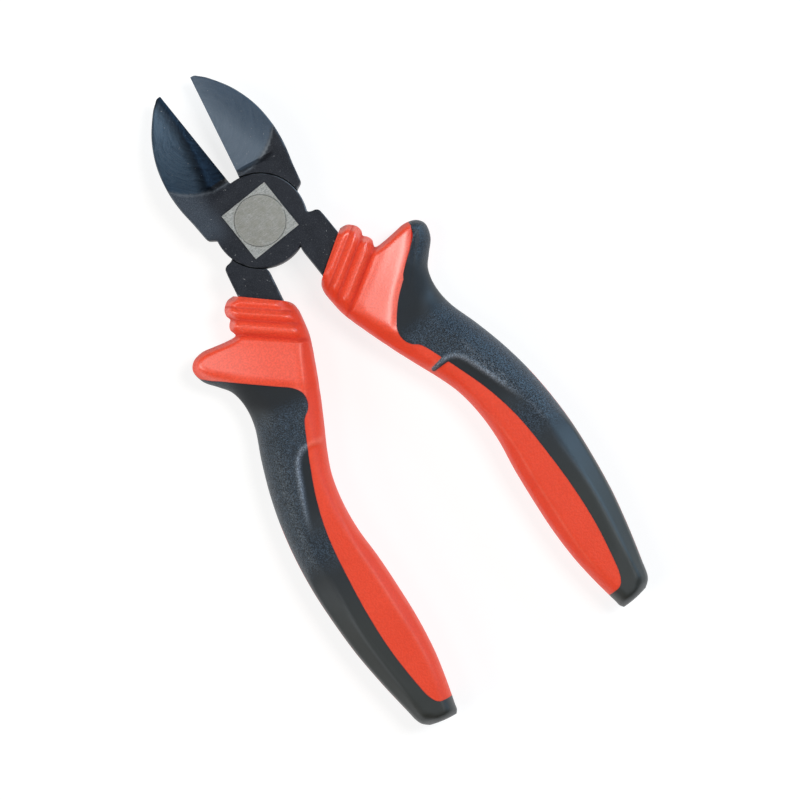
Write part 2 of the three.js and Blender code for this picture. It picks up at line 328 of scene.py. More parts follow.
# painted shade for the cutting bevel
BEVEL_PAINTED_SHADE = (0.006, 0.0078, 0.0115, 1)
POLISHED_OXIDE = (0.075, 0.096, 0.125, 1)
WORN_EDGE = (0.16, 0.175, 0.195, 1)
GROUND_RIM = (0.13, 0.15, 0.175, 1)
STEEL_SPECK = (0.3, 0.31, 0.32, 1)


def oxide_steel():
    """Forged tool steel, blackened, with ground faces and edges where the oxide wears off; painted shade
    on the cutting bevel and painted light in the ground faces' tints.
    """
    material, tree, shader = new_material("oxide_steel")
    place = where(tree)
    coarse = noise(tree, place, 0.35, 4)
    fine = noise(tree, place, 4.5, 3, 0.7)
    specks = between(tree, noise(tree, place, 1.7, 2), 0.7, 0.76, 0, 1)
    normal = node(tree, "ShaderNodeTexCoord").outputs["Normal"]
    upright = math_node(tree, "ABSOLUTE", node(tree, "ShaderNodeSeparateXYZ", {0: normal}).outputs["Z"])
    ground = multiply(tree, field(tree, "ground"), between(tree, upright, 0.2, 0.45, 0, 1))
    edge = field(tree, "edge")
    arcs = grinding_arcs(tree)
    black = mix_colour(tree, coarse, OXIDE_DARK, OXIDE_LIGHT)
    black = mix_colour(tree, between(tree, fine, 0.48, 0.68, 0, 0.5), black, OXIDE_FLECK)
    swirl = between(tree, arcs, 0.3, 0.7, 0, 1)
    # Painted light: the upper and the under ground face each get their own tint, over the grinding marks.
    upper_ground_as_lit = mix_colour(tree, swirl, UPPER_GROUND_PAINTED_LIGHT_LOW, UPPER_GROUND_PAINTED_LIGHT_HIGH)
    under_ground_as_lit = mix_colour(tree, swirl, UNDER_GROUND_PAINTED_LIGHT_LOW, UNDER_GROUND_PAINTED_LIGHT_HIGH)
    cut = mix_colour(tree, field(tree, "under"), upper_ground_as_lit, under_ground_as_lit)
    cut = mix_colour(tree, between(tree, fine, 0.45, 0.7, 0, 0.35), cut, GROUND_FLECK)
    # Painted shade: the cutting bevel's band is darkened, and made more metallic, to stand for the dark it
    # reflects.
    dark = multiply(tree, field(tree, "bevel"), between(tree, arcs, 0.3, 0.7, 0.97, 0.82))
    cut = mix_colour(tree, dark, cut, BEVEL_PAINTED_SHADE)
    polish = multiply(tree, field(tree, "polish"), between(tree, fine, 0.35, 0.65, 0.2, 0.8))
    black = mix_colour(tree, polish, black, POLISHED_OXIDE)
    colour = mix_colour(tree, ground, black, cut)
    rub = between(tree, coarse, 0.42, 0.62, 0.05, 0.7)
    wear = multiply(tree, between(tree, edge, 0.05, 0.45, 1, 0), rub)
    colour = mix_colour(tree, wear, colour, WORN_EDGE)
    rim = multiply(tree, field(tree, "rim"), between(tree, coarse, 0.3, 0.55, 0.3, 0.9))
    colour = mix_colour(tree, rim, colour, GROUND_RIM)
    colour = mix_colour(tree, multiply(tree, specks, 0.5), colour, STEEL_SPECK)
    tree.links.new(colour, shader.inputs["Base Color"])
    dull = multiply(tree, ground, field(tree, "under"))
    metal = between(tree, dull, 0, 1, 0.7, 0.25)
    metal = add(tree, metal, multiply(tree, dark, 0.28))
    tree.links.new(metal, shader.inputs["Metallic"])
    shader.inputs["Specular IOR Level"].default_value = 0.25
    rough = between(tree, fine, 0.3, 0.7, 0.42, 0.58)
    rough = math_node(tree, "SUBTRACT", rough, multiply(tree, ground, 0.08))
    tree.links.new(rough, shader.inputs["Roughness"])
    relief = bump(tree, fine, 0.45, 0.06)
    marks = multiply(tree, arcs, ground)
    tree.links.new(bump(tree, marks, 0.35, 0.05, relief), shader.inputs["Normal"])
    return material


STEEL_DARK = (0.115, 0.122, 0.122, 1)
STEEL_LIGHT = (0.42, 0.44, 0.435, 1)
STEEL_SCRATCH = (0.7, 0.7, 0.68, 1)
STEEL_TARNISH = (0.2, 0.195, 0.165, 1)


def bright_steel():
    """The bosses and the rivet's ends, ground together to bare metal."""
    material, tree, shader = new_material("bright_steel")
    place = where(tree)
    grain = noise(tree, place, 3.2, 4, 0.8)
    blots = noise(tree, place, 0.7, 3, 0.6)
    scratches = noise(tree, where(tree, scale=(0.25, 3, 1)), 2.2, 4, 0.7)
    from_pivot = length(tree, where(tree, scale=(1, 1, 0)))
    colour = mix_colour(tree, between(tree, grain, 0.3, 0.7, 0, 1), STEEL_DARK, STEEL_LIGHT)
    colour = mix_colour(tree, between(tree, scratches, 0.48, 0.7, 0, 0.5), colour, STEEL_SCRATCH)
    centred = between(tree, from_pivot, 5.6, 6.6, 1, 0.2)
    tarnish = multiply(tree, centred, between(tree, blots, 0.3, 0.7, 0.4, 0.75))
    colour = mix_colour(tree, tarnish, colour, STEEL_TARNISH)
    tree.links.new(colour, shader.inputs["Base Color"])
    shader.inputs["Metallic"].default_value = 0.6
    tree.links.new(between(tree, grain, 0.3, 0.7, 0.38, 0.6), shader.inputs["Roughness"])
    relief = bump(tree, grain, 0.6, 0.07)
    tree.links.new(bump(tree, scratches, 0.4, 0.03, relief), shader.inputs["Normal"])
    return material


RED_DEEP = (0.8, 0.054, 0.016, 1)
RED_LIGHT = (1, 0.094, 0.04, 1)
# painted shade for the grooves between the ribs
RED_GROOVE_PAINTED_SHADE = (0.45, 0.016, 0.009, 1)
# painted shade along the seam with the black
RED_SEAM_PAINTED_SHADE = (0.3, 0.02, 0.012, 1)
# painted highlight on the finger step's lip and the facet creases
RED_PAINTED_HIGHLIGHT = (1, 0.26, 0.17, 1)
RED_FLECK = (0.55, 0.03, 0.012, 1)


def red_plastic():
    """Hard moulded plastic with a satin face. The guard carries a painted sheen, the grooves between the
    ribs and the seam painted shade, and the finger step's lip and the facet creases painted highlights.
    """
    material, tree, shader = new_material("red_plastic")
    place = where(tree)
    cloud = noise(tree, place, 0.12, 3)
    grain = noise(tree, place, 5.5, 2, 0.6)
    seam = between(tree, field(tree, "seam"), 0, 0.3, 1, 0)
    groove = field(tree, "groove")
    # Lighter red from a cloud of random tone, and over the guard a painted sheen.
    tone_and_guard_sheen = add(tree, multiply(tree, cloud, 0.5), field(tree, "guard"))
    colour = mix_colour(tree, between(tree, tone_and_guard_sheen, 0.1, 1.4, 0, 1), RED_DEEP, RED_LIGHT)
    # Painted shade in the grooves between the ribs.
    colour = mix_colour(tree, between(tree, groove, 0, 1, 0, 0.6), colour, RED_GROOVE_PAINTED_SHADE)
    # Painted shade along the seam with the black.
    colour = mix_colour(tree, multiply(tree, seam, 0.5), colour, RED_SEAM_PAINTED_SHADE)
    # Painted highlight on the finger step's lip and along the facet creases.
    ridge = multiply(tree, field(tree, "ridge"), between(tree, cloud, 0.35, 0.6, 0.06, 0.2))
    lit = math_node(tree, "MAXIMUM", multiply(tree, field(tree, "lip"), 0.4), ridge)
    colour = mix_colour(tree, lit, colour, RED_PAINTED_HIGHLIGHT)
    fleck = between(tree, noise(tree, place, 2.2, 2, 0.6), 0.4, 0.6, 0, 1)
    satin = field(tree, "guard")
    flecked = multiply(tree, fleck, between(tree, satin, 0, 1, 0.2, 0.34))
    colour = mix_colour(tree, flecked, colour, RED_FLECK)
    tree.links.new(colour, shader.inputs["Base Color"])
    rough = between(tree, grain, 0.3, 0.7, 0, 0.08)
    rough = add(tree, rough, between(tree, satin, 0, 1, 0.46, 0.31))
    rough = math_node(tree, "SUBTRACT", rough, multiply(tree, field(tree, "ribs"), 0.06))
    rough = add(tree, rough, multiply(tree, groove, 0.35))
    tree.links.new(rough, shader.inputs["Roughness"])
    shader.inputs["Specular IOR Level"].default_value = 0.3
    gloss = multiply(tree, satin, between(tree, groove, 0, 1, 1, 0.1))
    tree.links.new(gloss, shader.inputs["Coat Weight"])
    shader.inputs["Coat Roughness"].default_value = 0.3
    shader.inputs["Subsurface Weight"].default_value = 0.08
    shader.inputs["Subsurface Scale"].default_value = 0.8 * MM
    waves = noise(tree, place, 0.3, 2)
    relief = bump(tree, waves, 0.25, 0.25)
    relief = bump(tree, fleck, 0.4, 0.06, relief)
    tree.links.new(bump(tree, grain, 0.3, 0.03, relief), shader.inputs["Normal"])
    return material


RUBBER_DARK = (0.0108, 0.0112, 0.0124, 1)
RUBBER_LIGHT = (0.0178, 0.0184, 0.02, 1)
# painted shade over the pebbled zone
PEBBLE_ZONE_PAINTED_SHADE = (0.003, 0.005, 0.009, 1)
# lighter, warmer tone towards the butt
RUBBER_BUTT_TONE = (0.032, 0.0315, 0.024, 1)
# painted glints on the pebbled zone
PEBBLE_PAINTED_GLINT = (0.044, 0.08, 0.125, 1)
# painted shade along the seam with the red
RUBBER_SEAM_PAINTED_SHADE = (0.004, 0.004, 0.005, 1)
# painted highlight on the finger step's lip and the facet creases
RUBBER_PAINTED_HIGHLIGHT = (0.26, 0.3, 0.36, 1)


def black_rubber():
    """Soft moulded rubber: pebbled where the thumb and fingers press, satin below. The pebbled zone
    carries painted shade and painted glints, the seam painted shade, and the finger step's lip and the
    facet creases painted highlights.
    """
    material, tree, shader = new_material("black_rubber")
    place = where(tree)
    cloud = noise(tree, place, 0.15, 3)
    grain = noise(tree, place, 6, 2, 0.6)
    pebbles = node(tree, "ShaderNodeTexVoronoi", {"Vector": place, "Scale": 2.5}, feature="F1")
    pebble = between(tree, pebbles.outputs["Distance"], 0, 0.65, 1, 0)
    zone = field(tree, "pebble")
    calm = field(tree, "calm")
    speckle = between(tree, noise(tree, place, 3.3, 2, 0.6), 0.44, 0.62, 0, 1)
    # Spots of painted glint over the pebbled zone; they also carry the coat's gloss.
    glint_spots = multiply(tree, speckle, zone)
    seam = between(tree, field(tree, "seam"), 0, 0.3, 1, 0)
    colour = mix_colour(tree, cloud, RUBBER_DARK, RUBBER_LIGHT)
    # Painted shade: the pebbled zone is darkened all over, as between pebbles.
    colour = mix_colour(tree, multiply(tree, zone, 0.7), colour, PEBBLE_ZONE_PAINTED_SHADE)
    # Lighter, warmer towards the butt.
    colour = mix_colour(tree, multiply(tree, field(tree, "toward_butt"), 0.6), colour, RUBBER_BUTT_TONE)
    colour = mix_colour(tree, multiply(tree, glint_spots, 0.6), colour, PEBBLE_PAINTED_GLINT)
    # Painted shade along the seam with the red.
    colour = mix_colour(tree, multiply(tree, seam, 0.6), colour, RUBBER_SEAM_PAINTED_SHADE)
    # Painted highlight on the finger step's lip and along the facet creases.
    lip_and_crease_highlight = multiply(tree, field(tree, "lip"), between(tree, speckle, 0, 1, 0.3, 0.9))
    lip_and_crease_highlight = math_node(tree, "MAXIMUM", lip_and_crease_highlight, multiply(tree, field(tree, "ridge"), 0.06))
    colour = mix_colour(tree, lip_and_crease_highlight, colour, RUBBER_PAINTED_HIGHLIGHT)
    tree.links.new(colour, shader.inputs["Base Color"])
    rough = between(tree, grain, 0.3, 0.7, 0.4, 0.52)
    rough = add(tree, rough, between(tree, calm, 0, 1, 0, 0.35))
    tree.links.new(rough, shader.inputs["Roughness"])
    shader.inputs["Specular IOR Level"].default_value = 0.49
    shader.inputs["Specular Tint"].default_value = (0.78, 0.9, 1, 1)
    tree.links.new(multiply(tree, glint_spots, 0.3), shader.inputs["Coat Weight"])
    shader.inputs["Coat Roughness"].default_value = 0.4
    relief = bump(tree, grain, 0.25, 0.03)
    beads = multiply(tree, pebble, zone)
    tree.links.new(bump(tree, beads, 0.95, 0.13, relief), shader.inputs["Normal"])
    return material


OXIDE = oxide_steel()
BRIGHT = bright_steel()
RED = red_plastic()
BLACK = black_rubber()

# ---------------------------------------------------------------- forging
JAW_BACK = [(-1.3, 37.1), (-3.9, 35.1), (-7.8, 30.7), (-10.8, 25.2), (-12.4, 19.4), (-12.9, 14)]
JAW_BACK += [(-12.6, 8.5)]
JAW_CORNER = [(-12.6, 8.5), (-12.5, 5), (-12.4, 4.2), (-12.05, 3.7), (-11.3, 3.15), (-10.85, 2.75)]
JAW_CORNER += [(-10.75, 2.3)]
TANG_TOP = [(3.75, -10.34), (3.45, -10.9), (3.3, -11.8), (3.3, -14)]
TANG_SHOULDER = [(12.4, -9.5), (12.35, -7.6), (12.2, -6.6), (11.6, -6.0), (10.8, -5.75), (10.1, -5.4)]
TANG_SHOULDER += [(9.85, -4.9)]
TANG_INNER = [(3.3, -14), (3.3, -20), (9.8, -45), (16.4, -67), (16.6, -78), (13.6, -101)]
TANG_OUTER = [(17.4, -101), (22.3, -78), (22.6, -68), (17.8, -45), (12.4, -22), (12.4, -9.5)]
TANG_HALF_THICKNESS = [(-101, 2.3), (-34, 3.4), (-18, HALF_HEAD)]


def even_points(points, spacing):
    """Points at an even spacing along a line, its own points kept."""
    points = np.asarray(points, float)
    made = [points[:1]]
    for a, b in zip(points[:-1], points[1:]):
        steps = max(1, round(math.dist(a, b) / spacing))
        made.append(a + (b - a) * np.linspace(0, 1, steps + 1)[1:, None])
    return np.vstack(made)


def arc(radius, start, end, steps):
    """Points on a circle round the pivot, between two angles."""
    angle = np.linspace(start, end, steps)
    return np.column_stack([radius * np.cos(angle), radius * np.sin(angle)])


def forging_outline():
    """The forging seen from above, anticlockwise from the blade's tip."""
    hub_low = arc(HUB_RADIUS, math.atan2(2.3, -10.75), math.atan2(-10.34, 3.75) + 2 * math.pi, 48)
    hub_high = arc(HUB_RADIUS, math.atan2(-4.9, 9.85), math.pi / 2 - 0.02, 48)
    parts = [
        [(-EDGE_GAP, BLADE_TIP_Y), (-0.75, BLADE_TIP_Y + 0.05)],
        curve_through(JAW_BACK, 70),
        curve_through(JAW_CORNER, 24)[1:],
        hub_low[1:],
        curve_through(TANG_TOP, 12)[1:],
        even_points(TANG_INNER, 1.2)[1:],
        even_points(TANG_OUTER, 1.2),
        curve_through(TANG_SHOULDER, 24)[1:],
        hub_high[1:],
        curve_through([(0.1, 11.02), (-0.02, 11.2), (-EDGE_GAP, BLADE_BASE_Y)], 6),
        even_points([(-EDGE_GAP, BLADE_BASE_Y), (-EDGE_GAP, BLADE_TIP_Y)], 0.5)[1:-1],
    ]
    return np.vstack([np.asarray(part, float) for part in parts])


def hollow_face(x, y, curve):
    """Half the thickness of the jaw under the grinding wheel."""
    lowest = WHEEL_LOW_HALF - WHEEL_TILT * x
    away = (WHEEL_LOW_Y - y) / (WHEEL_LOW_Y - ground_limit(x))
    sink = lowest + (HALF_HEAD - lowest) * np.sign(away) * np.abs(away) ** curve
    return np.where(y > BLADE_BASE_Y - 3, sink, HALF_HEAD + 5)


def ground_limit(x):
    """How far down the jaw the hollow reaches."""
    return GROUND_CENTRE_Y - np.sqrt(np.clip(GROUND_RADIUS**2 - x**2, 4, None))


def bevel_face(x, slope):
    """Half the thickness under the cutting bevel."""
    return np.where(x < 0.5, EDGE_HALF_THICKNESS - slope * (x + EDGE_GAP), 99)


def forging_heights(points, outline):
    """Half the thickness at each point in plan, and values for the finish and for where the painted shade
    on the bevel lies.
    """
    x, y = points.T
    tang_y, tang_z = np.array(TANG_HALF_THICKNESS).T
    flat = np.interp(y, tang_y, tang_z)
    hollow = hollow_face(x, y, TOP_CURVE)
    under_hollow = hollow_face(x, y, UNDER_CURVE)
    bevel = bevel_face(x, BEVEL_SLOPE)
    run_out = 3.5 * np.clip(BLADE_BASE_Y + 1.5 - y, 0, None) ** 2
    faces = soft_min(hollow, bevel + run_out, BEVEL_BLEND)
    under_faces = soft_min(under_hollow, bevel_face(x, UNDER_SLOPE) + run_out, UNDER_BLEND)
    heights = [soft_min(flat, side, 0.12) for side in (faces, under_faces)]
    edge = np.abs(beside(points, np.vstack([outline, outline[:1]])))
    blunt = 1 - ramp(x, -2.2, -0.9) * ramp(y, 9.5, 11.5)
    radius = EDGE_ROUND * (1 + 0.8 * ramp(y, 9, 15) * ramp(x, -3, -7))
    drop = radius * (1 - rounded(edge, radius)) * blunt
    values = {
        "ground": ramp(flat - faces, 0.0, 0.3),
        # where the painted shade on the cutting bevel lies
        "bevel": ramp(hollow - bevel, -2.8, -0.1) * ramp(y, 9, 11),
        "polish": ramp(x, -5, -10) * ramp(y, 0, 6),
        "edge": 3 * np.abs(edge - 0.14) + 3 * (1 - blunt),
        "rim": np.exp(-(((y - ground_limit(x) - 0.1) / 0.28) ** 2)),
    }
    return [np.clip(height - drop, EDGE_HALF_THICKNESS, None) for height in heights], values


def inset_loop(loop, distance):
    """A closed anticlockwise line, moved inwards."""
    along = np.roll(loop, -1, axis=0) - np.roll(loop, 1, axis=0)
    along /= np.linalg.norm(along, axis=1)[:, None]
    return loop + distance * np.column_stack([-along[:, 1], along[:, 0]])


def inside(points, loop):
    """Which of the points lie inside a closed line."""
    x, y = points.T
    crossings = np.zeros(len(points), int)
    for (ax, ay), (bx, by) in zip(loop, np.roll(loop, -1, axis=0)):
        if ay == by:
            continue
        spans = (ay > y) != (by > y)
        crossings += spans & (x < ax + (y - ay) * (bx - ax) / (by - ay))
    return crossings % 2 == 1


def forging_plan(outline):
    """The outline filled with triangles that follow the rounded rim, the boss and the ground faces."""
    loops = [outline] + [inset_loop(outline, distance) for distance in RIM_STEPS]
    innermost = loops[-1]
    for side in (BOSS_HALF_SIDE, BOSS_HALF_SIDE - BOSS_STEP):
        corners = [(-side, -side), (side, -side), (side, side), (-side, side)]
        loops.append(even_points([*corners, corners[0]], 0.8)[:-1])
    boundary = [(x, float(ground_limit(x))) for x in np.linspace(-12.2, -0.6, 34)]
    columns = np.arange(-13, 13.5, PLAN_STEP)
    lines = np.arange(-19, 37.5, PLAN_STEP)
    grid_x, grid_y = np.meshgrid(columns, lines)
    odd_line = np.indices(grid_x.shape)[0] % 2
    grid = np.column_stack([(grid_x + PLAN_STEP / 2 * odd_line).ravel(), grid_y.ravel()])
    grid = grid[inside(grid, innermost)]
    points = []
    edges = []
    for loop in loops:
        first = len(points)
        points.extend(map(tuple, loop))
        edges.extend((first + i, first + (i + 1) % len(loop)) for i in range(len(loop)))
    first = len(points)
    points.extend(boundary)
    edges.extend((first + i, first + i + 1) for i in range(len(boundary) - 1))
    points.extend(map(tuple, grid))
    made = delaunay_2d_cdt([Vector(p) for p in points], edges, [], 0, 1e-5)
    plan = np.array([tuple(v) for v in made[0]])
    faces = [tuple(face) for face in made[2]]
    centres = np.array([plan[list(face)].mean(axis=0) for face in faces])
    keep = inside(centres, outline)
    return plan, [face for face, kept in zip(faces, keep) if kept]


def forging(back):
    """One half's forging, cut for the other half's disc and for the rivet."""
    outline = forging_outline()
    plan, faces = forging_plan(outline)
    (height, under_height), values = forging_heights(plan, outline)
    boss = np.max(np.abs(plan), axis=1)
    raised = BOSS_HEIGHT * ramp(boss, BOSS_HALF_SIDE, BOSS_HALF_SIDE - BOSS_STEP)
    count = len(plan)
    points = np.vstack([np.column_stack([plan, height + raised]), np.column_stack([plan, -under_height])])
    borders = {}
    for face in faces:
        for a, b in zip(face, face[1:] + face[:1]):
            borders[(a, b)] = borders.get((b, a)) is None
            if (b, a) in borders:
                borders[(b, a)] = borders[(a, b)] = False
    walls = [(b, a, count + a, count + b) for (a, b), open_edge in borders.items() if open_edge]
    under = [tuple(count + i for i in reversed(face)) for face in faces]
    fields = {title: np.concatenate([value, value]) for title, value in values.items()}
    fields["bevel"][count:] = 0
    fields["polish"][count:] = 0
    fields["under"] = np.repeat([0.0, 1.0], count)
    side = "back" if back else "front"
    piece = make_piece(f"{side}_forging", placed(points, back), faces + under + walls, fields)
    lap = cylinder("lap", HUB_RADIUS + SWING_GAP, -HALF_HEAD - 1, LAP_GAP / 2, back, 220)
    hole = cylinder("hole", RIVET_RADIUS + RIVET_GAP, -1, MID_HEIGHT + 1, back)
    cut_away(piece, lap, hole)
    finish_piece(piece, OXIDE, f"{side}_half", f"{side}_half_forging", 30)
    piece.data.materials.append(BRIGHT)
    paint_boss(piece, back)


def paint_boss(piece, back):
    """Gives the ground face of the boss the bright finish."""
    top = MID_HEIGHT - 0.4 * BOSS_HEIGHT
    for face in piece.data.polygons:
        height = face.center.z / MM - MID_HEIGHT
        if (-height if back else height) > top and abs(face.normal.z) > 0.5:
            face.material_index = 1


def rivet():
    """A flush countersunk rivet, its ends slightly rounded at the rim."""
    head = RIVET_RADIUS
    end = MID_HEIGHT
    upper = [(0, end), (head - 0.35, end), (head - 0.08, end - 0.015), (head, end - 0.09)]
    upper += [(head, end - RIVET_RIM_DEPTH), (RIVET_SHANK_RADIUS, end - RIVET_SINK_DEPTH)]
    profile = upper + [(r, -z) for r, z in reversed(upper)]
    steps = 128
    rings = []
    for r, z in profile[1:-1]:
        circle = arc(r, 0, 2 * math.pi * (1 - 1 / steps), steps)
        rings.append(np.column_stack([circle, np.full(steps, z)]))
    points = np.vstack([*rings, [(0, 0, end), (0, 0, -end)]])
    faces = []
    for k in range(len(rings) - 1):
        for i in range(steps):
            j = (i + 1) % steps
            faces.append((k * steps + i, (k + 1) * steps + i, (k + 1) * steps + j, k * steps + j))
    top, bottom = len(points) - 2, len(points) - 1
    last = (len(rings) - 1) * steps
    for i in range(steps):
        j = (i + 1) % steps
        faces.append((top, i, j))
        faces.append((bottom, last + j, last + i))
    piece = make_piece("rivet", placed(points, False), faces)
    finish_piece(piece, BRIGHT, "front_half", "pivot_rivet", 30)


# ---------------------------------------------------------------- grip
# Slices from the collar to the butt: the inner and the outer end in plan, half the thickness,
# and how wide the rounding is along the outer and the inner side.
SLICES = [
    ((2.3, -19.7), (13.5, -12.8), 7.1, 2.0, 1.1),
    ((1.6, -20.6), (15.2, -13.2), 7.1, 2.2, 1.6),
    ((1.2, -22), (16.6, -14.7), 7.1, 2.4, 2.2),
    ((1.1, -23.3), (16.9, -16.2), 7.1, 2.4, 2.4),
    ((1.15, -25), (16.45, -17.4), 7.1, 2.4, 2.4),
    ((1.2, -26.3), (17.1, -18.3), 7.1, 2.4, 2.4),
    ((1.35, -28.2), (17.5, -19.6), 7.1, 2.4, 2.4),
    ((1.7, -30.1), (17.0, -21.3), 7.1, 2.2, 2.4),
    ((2, -31.2), (19.6, -21.55), 7.1, 1.7, 2.4),
    ((2.35, -32.6), (22.6, -21.4), 7.15, 1.6, 2.4),
    ((2.9, -34.4), (25.6, -21.3), 7.15, 1.6, 2.4),
    ((3.3, -35.9), (28.3, -22.3), 7.15, 1.8, 2.5),
    ((3.7, -37.2), (29.5, -24.5), 7.15, 3.2, 2.5),
    ((4.3, -39.2), (28.4, -27.7), 7.1, 4.0, 2.6),
    ((4.9, -41), (25.7, -30.4), 7, 4.8, 2.8),
    ((5.5, -43), (23.4, -33), 6.95, 5.6, 3),
    ((6.4, -45.6), (22.2, -37.2), 6.9, 6.2, 3.2),
    ((7.6, -49), (22.4, -42.6), 7, 6.6, 3.4),
    ((9.6, -54.6), (24.4, -50), 7.4, 7, 3.4),
    ((11.1, -60.2), (26.1, -58), 7.5, 7, 3.2),
    ((11.65, -67), (27.1, -66), 7.5, 6.4, 3),
    ((11.2, -74.2), (27.4, -74.2), 7.4, 5.6, 3),
    ((9.8, -82), (27.05, -82.4), 7.15, 4.4, 3),
    ((8.7, -90.4), (26, -91), 6.9, 3.8, 3),
    ((7.9, -98.6), (24.5, -99.6), 6.6, 3.4, 3),
    ((7.7, -106.6), (22.5, -107.6), 6.3, 3.2, 3),
    ((8.1, -113), (20.8, -113.4), 6.1, 3, 3),
    ((8.6, -117.6), (19.6, -117.2), 5.9, 3, 3),
    ((8.95, -120.4), (18.8, -119.8), 5.8, 3, 3),
    ((9.1, -121.8), (17.9, -121.3), 5.7, 3, 3),
    ((9.65, -122.7), (16.4, -122.35), 5.6, 3, 3),
]
BUTT_BOW = 0.25
BUTT_ROUND = 1.7
ROW_SPACING = [(8, 0.28), (12, 0.4), (20, 0.55), (26, 0.75), (99, 0.4)]  # before a slice, spacing

RIB_TURN = math.radians(30)  # the ribs climb towards the outside
COLLAR_MOUTH = 18.0  # places across the ribs, measured from the pivot
GUARD_START = 26.7
RIBS = [(19.3, 1.4, 0.95), (21.75, 1.5, 1.35), (24.9, 1.75, 1.65)]  # centre, half width, height
# The dark lines in the grooves are painted shade in the red's colour.
GROOVES = [(20.45, 0.22), (23.2, 0.42), (26.7, 0.42)]  # dark lines by the ribs: centre, width
COLLAR_DROP = 1.4
GUARD_LEAN = 2.3  # how much lower the guard's face is at its tip
GUARD_CROWN = 0.6  # and how much lower still, because the face curves down towards the tip
INNER_FACET = [(-123, 1.6), (-107, 2.4), (-95, 2.9), (-80, 2.8), (-70, 1.8), (-60, 1.2)]  # y, width
INNER_FACET += [(-52, 2.2), (-46, 3.2), (-42, 3.6), (-38, 3), (-30, 1.9), (-22, 1.6), (-19.5, 0.9)]
OUTER_FACET = [(-122, 1.8), (-110, 3), (-95, 4), (-86, 5), (-75, 5.6)]
STEP_LINE = [(4, -52.1), (9.5, -52.2), (13, -52.2), (15.2, -53), (16.7, -55.3), (17.8, -58.7)]
STEP_LINE += [(18.9, -62.2), (19.9, -66), (20.8, -70), (21.3, -75)]
STEP_HEIGHT = 0.6
SOFTENING = 4  # rounds of smoothing on a grip's faces
TAB = ((13.8, -51.75), (9.85, -51.95), 0.85, 0.55)  # its root, its tip, and half the width at each

BORDER_END = [(8.7, -40.2), (8.6, -42.4), (9.4, -44.2), (11.1, -46), (12.6, -50), (14.6, -56), (16.8, -64)]
BORDER_END += [(18.1, -73), (18.2, -84), (17.7, -94.5), (16.5, -104), (14.5, -113), (13.4, -116.3)]
BORDER_END += [(12, -118), (9.8, -118.3), (6, -118.3)]
BORDER_FRONT = [(26.1, -15), (26.5, -22.6), (24.2, -26), (19.2, -30), (13.8, -34), (10, -38)] + BORDER_END
BORDER_BACK = [(38, -19), (28.4, -27), (24.6, -29.4), (20.4, -32), (13.8, -36), (10.5, -38)] + BORDER_END
SPINE_FROM, SPINE_TO, SPINE_HALF_HEIGHT = -65, -117, 1.1


def grip_rows():
    """Places of the grid's rows, as fractional numbers of slices."""
    rows = [0.0]
    for i, (slice_a, slice_b) in enumerate(zip(SLICES[:-1], SLICES[1:])):
        length = (math.dist(slice_a[0], slice_b[0]) + math.dist(slice_a[1], slice_b[1])) / 2
        spacing = next(s for upto, s in ROW_SPACING if i < upto)
        steps = math.ceil(length / spacing)
        rows.extend(i + (k + 1) / steps for k in range(steps))
    rows = np.array(rows)
    last = len(SLICES) - 1
    return np.where(rows > last - 1, last - (last - rows) ** 1.6, rows)


def rail_inset(rail, inset, sign):
    """A grip's side in plan, moved into the grip. The sign is 1 for the inner side, -1 for the outer."""
    along = np.gradient(rail, axis=0)
    along /= np.linalg.norm(along, axis=1)[:, None]
    moved = rail + sign * inset * np.column_stack([-along[:, 1], along[:, 0]])
    moved[:, 1] = np.maximum(moved[:, 1], rail[-1, 1] + inset)
    return moved


def ridge_relief(plan, tab):
    """Where the finger's step, its lip and the tab raise and lower a grip's face."""
    y = plan[:, 1]
    step = step_distance(plan)
    fade = ramp(y, -74, -57)
    lip = np.exp(-(((step - 0.7) / 0.55) ** 2)) * fade * ramp(y, -48, -51)
    return 0.2 * lip - STEP_HEIGHT * (1 - ramp(step, -0.3, 0.45)) * fade + 0.3 * ramp(tab, -0.2, 0.35)


def step_distance(plan):
    """Signed distance from the finger step's line, positive on its outer side."""
    return beside(plan, curve_through(STEP_LINE, 60))


def smoothed(grid, rim, rounds):
    """Softens the creases between a grip's faces, its outline kept."""
    for _ in range(rounds):
        wide = np.pad(grid, 1, mode="edge")
        around = wide[:-2, 1:-1] + wide[2:, 1:-1] + wide[1:-1, :-2] + wide[1:-1, 2:]
        grid = np.where(rim, grid, grid / 2 + around / 8)
    return grid


